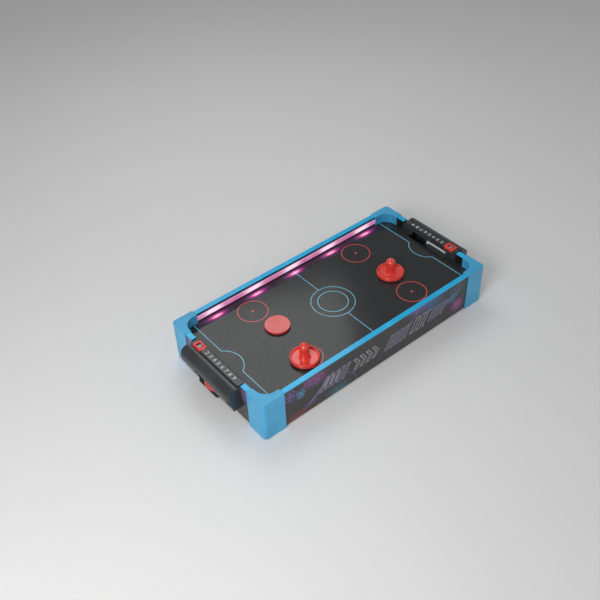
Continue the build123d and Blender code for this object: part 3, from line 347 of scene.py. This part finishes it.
class Print:
    """Neon artwork on one board: s runs along the board from the reader's left, t runs up."""

    def __init__(self, graph, s, t):
        self.g = graph
        self.s, self.t = s, t
        self.place = graph.join(s, t)
        self.picture = FILM_BLACK

    def lay(self, mask, tint, strength):
        """Lays a tint over the picture where mask is 1."""
        self.picture = self.g.wash(mask, strength, self.picture, tint)

    def glow(self, centre, radii, tint, strength):
        """A soft oval patch of light."""
        offset = self.g.vector("SUBTRACT", self.place, (*[c * MM for c in centre], 0))
        unit = self.g.vector("DIVIDE", offset, (radii[0] * MM, radii[1] * MM, 1))
        self.lay(self.g.smooth(self.g.vector("LENGTH", unit), 1.0, 0.0), tint, strength)

    def edge(self, distance, width):
        """A crisp line with a faint halo where distance (metres) is near 0."""
        g = self.g
        distance = g.math("ABSOLUTE", distance)
        line = g.smooth(distance, width * 0.72 * MM, width * 0.36 * MM)
        halo = g.smooth(distance, width * 3.0 * MM, 0.0)
        return g.math("MULTIPLY_ADD", halo, 0.28, line, clamp=True)

    def rings(self, circles, width, tint, strength=0.85):
        """Outlined circles, each (s, t, radius)."""
        g = self.g
        nearest = None
        for s, t, radius in circles:
            offset = g.vector("SUBTRACT", self.place, (s * MM, t * MM, 0))
            distance = g.math("SUBTRACT", g.vector("LENGTH", offset), radius * MM)
            distance = g.math("ABSOLUTE", distance)
            nearest = distance if nearest is None else g.math("MINIMUM", nearest, distance)
        self.lay(self.edge(nearest, width), tint, strength)

    def flower(self, centre, reach, petals, radius, width, tint, strength=0.85):
        """A ring of outlined circles round a small one."""
        turns = [math.tau * petal / petals for petal in range(petals)]
        circles = [(centre[0] + reach * math.cos(turn), centre[1] + reach * math.sin(turn), radius)
                   for turn in turns]
        self.rings(circles + [(*centre, radius * 0.6)], width, tint, strength)

    def arc(self, centre, radius, width, tint, right_of, strength=0.7):
        """The part of a circle to the right of a place."""
        g = self.g
        offset = g.vector("SUBTRACT", self.place, (centre[0] * MM, centre[1] * MM, 0))
        line = self.edge(g.math("SUBTRACT", g.vector("LENGTH", offset), radius * MM), width)
        self.lay(g.math("MULTIPLY", line, g.smooth(self.s, right_of * MM, (right_of + 2) * MM)),
                 tint, strength)

    def slash(self, start, end, width, tint, strength=0.8):
        """A straight stroke between two points."""
        g = self.g
        run = (Vector(end) - Vector(start)) * MM
        offset = g.vector("SUBTRACT", self.place, (start[0] * MM, start[1] * MM, 0))
        along = g.vector("DOT_PRODUCT", offset, (*(run / run.length_squared), 0))
        nearest = g.node("VectorMath", (*run, 0), operation="SCALE")
        g.feed(g.math("MAXIMUM", g.math("MINIMUM", along, 1.0), 0.0), nearest.node.inputs["Scale"])
        away = g.vector("LENGTH", g.vector("SUBTRACT", offset, nearest))
        self.lay(self.edge(away, width), tint, strength)

    def bars(self, left, right, low, high, pitch, share, lean, width, tint, strength=0.8,
             chevron=False):
        """A row of outlined slanted bars, or of outlined arrow-heads, between two heights."""
        g = self.g
        middle = (low + high) / 2 * MM
        rise = g.math("SUBTRACT", self.t, middle)
        skew = g.math("ABSOLUTE", rise) if chevron else rise
        sheared = g.math("SUBTRACT", self.s, g.math("MULTIPLY", skew, -lean if chevron else lean))
        turn = g.math("FRACT", g.math("DIVIDE", g.math("SUBTRACT", sheared, left * MM), pitch * MM))
        side = g.math("SUBTRACT", g.math("ABSOLUTE", g.math("SUBTRACT", turn, 0.5)), share / 2)
        side = g.math("MULTIPLY", side, pitch * MM)
        cap = g.math("SUBTRACT", g.math("ABSOLUTE", rise), (high - low) / 2 * MM)
        outline = self.edge(g.math("MAXIMUM", side, cap), width)
        inside = g.math("MULTIPLY", g.smooth(sheared, left * MM, (left + 0.4) * MM),
                        g.smooth(sheared, right * MM, (right - 0.4) * MM))
        self.lay(g.math("MULTIPLY", outline, inside), tint, strength)


def printed_board(name, across, sign, draw):
    """Black film over fibreboard with artwork on the outer face. across is the axis the board's
    faces point along (0 for X, 1 for Y), and sign its outer side."""
    g = Graph(name, Specular_IOR_Level=0.5, Coat_Weight=0.35, Coat_Roughness=0.25)
    place = g.split(g.where)
    s = g.math("MULTIPLY", place[1 - across], float(sign if across == 0 else -sign))
    art = Print(g, s, place[2])
    draw(art)
    outside = g.smooth(g.math("MULTIPLY", g.facing(across), float(sign)), 0.4, 0.6)
    screen = g.smooth(g.noise(1500, detail=2), 0.35, 0.65)
    picture = g.wash(screen, 0.12, art.picture, FILM_BLACK)
    rubbed = g.math("MULTIPLY", g.worn_edges(0.4 * MM), g.smooth(g.noise(160, detail=4), 0.5, 0.7))
    picture = g.mix(outside, colour(24, 24, 26), picture)
    g.set("Base Color", g.wash(rubbed, 0.5, picture, colour(120, 104, 86)))
    smears = g.noise(40, detail=4, roughness=0.7)
    g.set("Roughness", g.scale(smears, 0.3, 0.7, 0.36, 0.5))
    g.set("Normal", g.bump(g.noise(260, detail=4), 0.04 * MM, 0.35))
    return g.material


def side_art(art):
    """The long boards' artwork, in millimetres from the middle and from the floor."""
    art.glow((-128, 60), (34, 20), PINK, 0.42)
    art.glow((-162, 5), (34, 17), colour(150, 36, 44), 0.62)
    art.glow((-86, 6), (30, 18), TEAL, 0.75)
    art.glow((103, 64), (40, 26), colour(46, 112, 170), 0.75)
    art.glow((73, 70), (30, 22), colour(150, 110, 190), 0.55)
    art.glow((160, 24), (26, 20), colour(116, 48, 120), 0.5)
    art.flower((-172, 55), 6.0, 5, 4.6, 0.8, VIOLET)
    art.flower((-154, 47), 4.4, 5, 3.2, 0.8, SKY)
    art.rings([(-142, 59, 5.2), (-133, 57, 6.0), (-124, 52, 4.4), (-119, 57, 5.4)], 0.8, VIOLET)
    art.flower((163, 22), 6.4, 6, 4.4, 0.8, PINK, 0.85)
    art.slash((-139, 16), (-95, 48), 1.0, LAVENDER, 0.75)
    art.slash((-143, 15), (-106, 42), 0.7, VIOLET, 0.6)
    art.bars(-150, -126, 12.5, 18, 4.6, 0.4, 0.8, 0.6, VIOLET, 0.7)
    art.bars(-117, -66, 24, 47, 10.2, 0.50, 0.55, 0.9, LAVENDER)
    art.bars(-113, -84, 29, 42, 10.2, 0.20, 0.55, 0.7, PALE)
    art.bars(-52, -3, 25, 46, 12.2, 0.4, 0.7, 0.9, PALE, chevron=True)
    art.bars(10, 56, 23, 46, 10.1, 0.50, 0.55, 0.9, LAVENDER)
    art.bars(62, 96, 24, 49, 13.4, 0.54, 0.55, 0.9, PALE)
    art.bars(100, 136, 26, 47, 8.8, 0.44, 0.55, 0.8, LAVENDER)
    art.arc((-75, 5), 24.3, 0.9, VIOLET, -71)
    art.arc((50, 64), 18.0, 0.9, VIOLET, 50, 0.6)
    art.arc((50, 64), 21.5, 0.8, SKY, 50, 0.5)
    art.bars(139, 160, 37, 50, 5.4, 0.4, 0.9, 0.7, SKY, 0.85)
    art.rings([(150, 57, 4.5), (158, 60, 4.5), (166, 57, 4.5)], 0.7, SKY, 0.5)


def end_art(art):
    """The short boards' artwork, beside the goal."""
    for side in (-1, 1):
        art.glow((side * 68, 60), (18, 24), colour(132, 116, 156), 0.8)
        art.glow((side * 74, 10), (16, 14), colour(116, 48, 120), 0.4)
        art.flower((side * 68, 46), 4.2, 5, 3.0, 0.7, VIOLET, 0.7)


# ---------------------------------------------------------------- light strip
strip_low, strip_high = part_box("led_diffuser_back")
STRIP_MIDDLE = (strip_low.z + strip_high.z) / 2
STRIP_HALF = (strip_high.z - strip_low.z) / 2
TRACK_LEVEL = 2.6 * MM      # the copper tracks' height above and below the middle


def diffuser_material():
    """Milky strip lit from behind: a white patch over each lamp, pinkish lilac between them."""
    g = Graph("lit_diffuser", Roughness=0.38)
    x, _, z = g.split(g.where)
    lamp = g.smooth(g.math("ABSOLUTE", from_lamp(g, x)), 0.33, 0.07)
    height = g.math("ABSOLUTE", g.math("SUBTRACT", z, STRIP_MIDDLE))
    upper = g.smooth(z, STRIP_MIDDLE + 0.15 * STRIP_HALF, STRIP_MIDDLE + 0.9 * STRIP_HALF)
    body = g.smooth(height, STRIP_HALF * 1.15, STRIP_HALF * 0.3)
    ripple = g.noise(60, detail=2, stretch=(1, 1, 0.2))
    dim = g.mix(g.spread(ripple), colour(206, 108, 166), colour(232, 138, 186))
    dim = g.wash(upper, 0.6, dim, colour(206, 184, 204))
    tint = g.mix(g.math("MULTIPLY", lamp, body), dim, colour(244, 226, 236))
    g.set("Base Color", colour(150, 104, 142))
    g.set("Emission Color", tint)
    g.set("Emission Strength", g.math("MULTIPLY_ADD", lamp, 0.30, 0.68))
    g.set("Normal", g.bump(g.noise(900, detail=2, stretch=(0.2, 1, 1)), 0.02 * MM, 0.3))
    return g.material


# ---------------------------------------------------------------- pucks and paddle felt
PUCK_RINGS = (15.5 * MM, 10.5 * MM, 5.5 * MM)   # radii
FELT_RINGS = 12
FELT_SPOKES = 72
FELT_INSET = 0.15 * MM      # from the CAD disc's rim, so that the frayed one stays within it
FELT_FRAY = 0.12 * MM
FELT_NAP = 0.05 * MM
FELT_ROUND_FROM = 0.9       # the share of the radius where the underside starts to round off
FELT_ROUND_OFF = 0.30       # how far it rises at the rim, as a share of the thickness


def puck_material(name):
    """Pink-red plastic, paler along the moulded rings round the puck's own middle, with painted
    light and shade: paler faces, darker rim.
    """
    low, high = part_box(name)
    centre = (low + high) / 2
    g = Graph(f"{name}_plastic", Specular_IOR_Level=0.5)
    offset = g.vector("SUBTRACT", g.where, (centre.x, centre.y, 0.0))
    radius = g.vector("LENGTH", g.vector("MULTIPLY", offset, (1.0, 1.0, 0.0)))
    rings = None
    for at in PUCK_RINGS:
        ring = g.smooth(g.math("ABSOLUTE", g.math("SUBTRACT", radius, at)), 1.4 * MM, 0.3 * MM)
        rings = ring if rings is None else g.math("MAXIMUM", rings, ring)
    flow = g.noise(60, detail=4)
    face = g.mix(g.spread(flow), colour(238, 112, 106), colour(246, 124, 118))
    scratches = g.smooth(g.noise(300, detail=5, roughness=0.7, stretch=(1, 0.2, 1)), 0.60, 0.72)
    face = g.wash(rings, 0.4, face, colour(255, 160, 154))
    # Painted light and shade: the flat faces are a paler pink and the rim a darker red
    on_face = g.smooth(g.math("ABSOLUTE", g.facing(2)), 0.5, 0.8)
    face = g.mix(on_face, colour(206, 62, 56), face)
    g.set("Base Color", g.wash(scratches, 0.18, face, colour(240, 170, 164)))
    g.set("Roughness", g.math("MULTIPLY_ADD", scratches, 0.15, 0.26))
    g.set("Normal", g.bump(g.noise(1800, detail=2), 0.02 * MM, 0.4))
    return g.material


def felt_disc(paddle, cloth):
    """A needled disc under a paddle: rounded off below, with a nap, and frayed at its rim."""
    node = paddle.replace("paddle", "paddle_felt")
    low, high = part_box(node)
    centre, radius, thick = (low + high) / 2, (high.x - low.x) / 2, high.z - low.z
    disc = bmesh.new()
    layers = []
    for top in (False, True):
        rings = [[disc.verts.new((centre.x, centre.y, high.z if top else low.z))]]
        for step in range(1, FELT_RINGS + 1):
            share = step / FELT_RINGS
            ring = []
            for spoke in range(FELT_SPOKES):
                angle = math.tau * spoke / FELT_SPOKES
                fray = FELT_FRAY * math.sin(7 * angle) * math.sin(11 * angle + 1)
                reach = (radius - FELT_INSET) * share + (fray if step == FELT_RINGS else 0.0)
                past = max(0.0, share - FELT_ROUND_FROM) / (1 - FELT_ROUND_FROM)
                round_off = FELT_ROUND_OFF * thick * past
                level = high.z if top else low.z + round_off
                nap = 0.0 if top else FELT_NAP * (1 + math.sin(5 * angle + 9 * share))
                ring.append(disc.verts.new((centre.x + reach * math.cos(angle),
                                            centre.y + reach * math.sin(angle), level + nap)))
            rings.append(ring)
        layers.append(rings)
    for top, rings in zip((False, True), layers):
        for inner, outer in zip(rings, rings[1:]):
            for spoke in range(FELT_SPOKES):
                after = (spoke + 1) % FELT_SPOKES
                if len(inner) == 1:
                    face = (inner[0], outer[spoke], outer[after])
                else:
                    face = (inner[spoke], outer[spoke], outer[after], inner[after])
                disc.faces.new(face if top else face[::-1])
    below, above = layers[0][-1], layers[1][-1]
    for spoke in range(FELT_SPOKES):
        after = (spoke + 1) % FELT_SPOKES
        disc.faces.new((below[spoke], below[after], above[after], above[spoke]))
    for face in disc.faces:
        face.smooth = True
    mesh = bpy.data.meshes.new(f"{node}_pad")
    disc.to_mesh(mesh)
    disc.free()
    mesh.materials.append(cloth)
    pad = bpy.data.objects.new(f"{node}_pad", mesh)
    bpy.context.scene.collection.objects.link(pad)
    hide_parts(node)
    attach(pad, paddle)


# ---------------------------------------------------------------- inside pieces
CELL_GAP = (7.2 * MM, 7.5 * MM)         # from the middle cell's axis to between it and the next
SLEEVE_BAND = (13.8 * MM, 14.4 * MM)    # where the sleeve turns copper, from the cells' middle


def cell_sleeve_material():
    """Printed battery sleeve: dark body with a copper-coloured band at the positive end, which is
    the back end of the outer cells and the front end of the middle one."""
    g = Graph("cell_sleeve", Metallic=0.65, Specular_IOR_Level=0.5)
    low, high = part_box("batteries")
    x, y = g.split(g.where)[:2]
    aside = g.math("ABSOLUTE", g.math("SUBTRACT", x, (low.x + high.x) / 2))
    turn = g.math("MULTIPLY_ADD", g.smooth(aside, *CELL_GAP), 2.0, -1.0)
    band = g.smooth(g.math("MULTIPLY", y, turn), *SLEEVE_BAND)
    scuffs = g.smooth(g.noise(300, detail=5, roughness=0.7), 0.58, 0.7)
    sleeve = g.mix(band, colour(38, 38, 42), colour(176, 112, 66))
    g.set("Base Color", g.wash(scuffs, 0.3, sleeve, colour(170, 165, 160)))
    g.set("Roughness", g.scale(scuffs, 0.0, 1.0, 0.28, 0.45))
    return g.material


def circuit_material():
    """White solder mask with copper tracks showing faintly through it."""
    g = Graph("circuit_board", Roughness=0.4)
    level = g.math("ABSOLUTE", g.math("SUBTRACT", g.split(g.where)[2], STRIP_MIDDLE))
    track = g.smooth(g.math("ABSOLUTE", g.math("SUBTRACT", level, TRACK_LEVEL)), 0.5 * MM, 0.3 * MM)
    mottled = g.noise(500, detail=4)
    mask = g.mix(mottled, colour(226, 226, 218), colour(240, 240, 234))
    g.set("Base Color", g.wash(track, 0.4, mask, colour(190, 160, 110)))
    g.set("Normal", g.bump(track, 0.04 * MM, 0.5))
    return g.material


# ---------------------------------------------------------------- painting the CAD nodes
ENDS = (("left", -1), ("right", 1))
SIDES = (("front", -1), ("back", 1))

post_blue = moulded("post_blue", colour(72, 178, 226), roughness=0.34, grain=0.22, wear=0.10)
edge_blue = moulded("edge_blue", colour(8, 190, 250), roughness=0.22, grain=0.10, wear=0.08,
                    coat=0.3)
case_black = moulded("case_black", colour(50, 54, 56), roughness=0.31, grain=0.4, wear=0.06,
                     coat=0.3)
toy_red = moulded("toy_red", colour(255, 72, 60), roughness=0.18, grain=0.06, wear=0.05, coat=0.7)
slider_red = moulded("slider_red", colour(240, 66, 62), roughness=0.26, grain=0.08, wear=0.10)
fan_white = moulded("fan_white", colour(228, 228, 222), roughness=0.4, grain=0.3, wear=0.02)
sleeve_red = moulded("wire_sleeve", colour(176, 30, 26), roughness=0.42, grain=0.1, wear=0.02)
zinc = plated("zinc_steel", colour(196, 198, 202), 0.30)
nickel = plated("nickel_steel", colour(214, 206, 190), 0.18)
rubber = moulded("pad_rubber", colour(34, 34, 35), roughness=0.82, grain=1.0, wear=0.02)
lens = moulded("lamp_lens", colour(246, 226, 150), roughness=0.15, grain=0.05, wear=0.0)

paint(playfield_material(), "playfield")
paint(diffuser_material(), *[f"led_diffuser_{side}" for side, _ in SIDES])
paint(circuit_material(), *[f"led_board_{side}" for side, _ in SIDES])
for side, sign in SIDES:
    paint(printed_board(f"side_print_{side}", 1, sign, side_art), f"side_board_{side}")
for end, sign in ENDS:
    paint(printed_board(f"end_print_{end}", 0, sign, end_art), f"end_board_{end}")
paint(post_blue, *[f"corner_post_{side}_{end}" for side, _ in SIDES for end, _ in ENDS])
paint(edge_blue, *[f"side_rail_{side}" for side, _ in SIDES],
      *[f"end_rail_{end}" for end, _ in ENDS])
paint(case_black, "fan_grille", "fan_housing", "battery_box", "battery_door",
      "power_switch_body", "power_switch_knob",
      *[f"{part}_{end}" for part in ("goal_hood", "goal_tray", "score_bar") for end, _ in ENDS])
paint(slider_red, *[f"score_slider_{end}" for end, _ in ENDS])
paint(toy_red, "paddle_1", "paddle_2")
for puck in ("puck_1", "puck_2"):
    paint(puck_material(puck), puck)
paint(fan_white, "fan_rotor")
paint(zinc, "motor_shaft", "fan_motor", "post_screws", "base_screws", "goal_screws", "fan_screws")
paint(nickel, "battery_contacts")
paint(cell_sleeve_material(), "batteries")
paint(lens, "led_chips")
paint(rubber, "foot_pads")
paint(sleeve_red, "wire_battery", "wire_motor", "wire_led_front", "wire_led_back")
paint(sawn_wood("sawn_batten", colour(214, 176, 124), colour(168, 122, 74)),
      *[f"{part}_{side}" for part in ("playfield_ledge", "base_ledge") for side, _ in SIDES])
paint(pressed_board("hardboard", colour(132, 98, 66), colour(96, 66, 42)), "base_board")
grey_felt = felt_cloth("grey_felt", colour(52, 52, 56))
for paddle in ("paddle_1", "paddle_2"):
    felt_disc(paddle, grey_felt)


# ---------------------------------------------------------------- score digits
DIGITS = 10
DIGIT_SIZE = 8.4 * MM
DIGIT_SWELL = 0.12 * MM     # thickens the strokes
INK_HALF = 0.03 * MM        # half the ink's thickness
INK_LIFT = 0.04 * MM        # the ink's middle above the bar


def score_digits(end, sign, white):
    """The digits 0 to 9 printed along the score bar, read from outside that end."""
    low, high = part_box(f"score_bar_{end}")
    slider_low, slider_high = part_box(f"score_slider_{end}")
    middle_x = (slider_low.x + slider_high.x) / 2
    first_y = (slider_low.y + slider_high.y) / 2
    pitch = 2 * abs(first_y) / (DIGITS - 1)
    digits = bmesh.new()
    for number in range(DIGITS):
        curve = bpy.data.curves.new(f"digit_{number}", "FONT")
        curve.body = str(number)
        curve.size = DIGIT_SIZE
        curve.offset = DIGIT_SWELL
        curve.align_x = "CENTER"
        curve.align_y = "CENTER"
        curve.extrude = INK_HALF
        curve.resolution_u = 6
        holder = bpy.data.objects.new(curve.name, curve)
        bpy.context.scene.collection.objects.link(holder)
        holder.location = (middle_x, first_y + sign * pitch * number, high.z + INK_LIFT)
        holder.rotation_euler = (0, 0, sign * math.pi / 2)
        bpy.context.view_layer.update()
        mesh = bpy.data.meshes.new_from_object(holder)
        mesh.transform(holder.matrix_world)
        digits.from_mesh(mesh)
        bpy.data.objects.remove(holder)
        bpy.data.meshes.remove(mesh)
    printed = bpy.data.meshes.new(f"score_digits_{end}")
    digits.to_mesh(printed)
    digits.free()
    printed.materials.append(white)
    piece = bpy.data.objects.new(f"score_digits_{end}", printed)
    bpy.context.scene.collection.objects.link(piece)
    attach(piece, "table")


def print_white_material():
    """White pad-printing ink, slightly worn."""
    g = Graph("print_white", Specular_IOR_Level=0.4, Roughness=0.5)
    worn = g.smooth(g.noise(1100, detail=4, roughness=0.7), 0.60, 0.70)
    g.set("Base Color", g.wash(worn, 0.5, colour(216, 218, 220), colour(120, 122, 124)))
    g.set("Normal", g.bump(worn, 0.02 * MM, 0.4))
    return g.material


print_white = print_white_material()
for end, sign in ENDS:
    score_digits(end, sign, print_white)


# ---------------------------------------------------------------- floor, light and camera
def floor_material():
    """Matt white paper, very faintly uneven."""
    g = Graph("studio_floor", Roughness=0.55)
    g.set("Base Color", g.mix(g.noise(3, detail=2), colour(242, 242, 241), colour(247, 247, 246)))
    return g.material


FLOOR_HALF = 6.0
floor_mesh = bpy.data.meshes.new("studio_floor")
corners = [(x * FLOOR_HALF, y * FLOOR_HALF, 0.0) for x, y in ((-1, -1), (1, -1), (1, 1), (-1, 1))]
floor_mesh.from_pydata(corners, [], [(0, 1, 2, 3)])
floor_mesh.materials.append(floor_material())
floor = bpy.data.objects.new("studio_floor", floor_mesh)
bpy.context.scene.collection.objects.link(floor)


def softbox(name, place, target, size, power):
    """A square area light aimed at a point."""
    lamp = bpy.data.lights.new(name, "AREA")
    lamp.size = size
    lamp.energy = power
    holder = bpy.data.objects.new(name, lamp)
    holder.location = place
    holder.rotation_euler = (Vector(target) - Vector(place)).to_track_quat("-Z", "Y").to_euler()
    bpy.context.scene.collection.objects.link(holder)


softbox("key_light", place=(-0.95, -0.45, 0.85), target=(0, 0, 0.03), size=0.5, power=7.8)
softbox("top_light", place=(0.22, 0.62, 1.05), target=(-0.1, 0, 0.03), size=0.7, power=2.5)
softbox("fill_light", place=(1.2, -0.9, 0.9), target=(0, 0, 0.05), size=1.0, power=1.0)

WORLD_STRENGTH = 0.32
world = bpy.data.worlds.new("studio")
world.use_nodes = True
sky = world.node_tree.nodes["Background"].inputs
sky["Color"].default_value = colour(240, 240, 242)
sky["Strength"].default_value = WORLD_STRENGTH
bpy.context.scene.world = world
bpy.context.scene.view_settings.view_transform = "Standard"

# The camera's place, found by fitting the table to the photograph. Angles are in degrees before
# they are turned into radians; ASIDE and ABOVE shift the camera across its view, in metres.
AZIMUTH = math.radians(-37.95)
ELEVATION = math.radians(41.74)
ROLL = math.radians(-2.51)
DISTANCE = 1.2365
AIM = Vector((0, 0, 0.035))
ASIDE, ABOVE = -0.0511, 0.01525
FOCAL_PER_WIDTH = 799.67 / 600     # the focal length and the picture's width, both in pixels
SENSOR = 36.0                      # millimetres

back = Vector((math.sin(AZIMUTH) * math.cos(ELEVATION), -math.cos(AZIMUTH) * math.cos(ELEVATION),
               math.sin(ELEVATION)))
level = Vector((math.cos(AZIMUTH), math.sin(AZIMUTH), 0))
upright = back.cross(level)
right = level * math.cos(ROLL) + upright * math.sin(ROLL)
up = upright * math.cos(ROLL) - level * math.sin(ROLL)
lens_data = bpy.data.cameras.new("camera")
lens_data.sensor_width = SENSOR
lens_data.lens = SENSOR * FOCAL_PER_WIDTH
camera = bpy.data.objects.new("camera", lens_data)
turn = Matrix((right, up, back)).transposed().to_4x4()
camera.matrix_world = Matrix.Translation(AIM + right * ASIDE + up * ABOVE + back * DISTANCE) @ turn
bpy.context.scene.collection.objects.link(camera)
bpy.context.scene.camera = camera
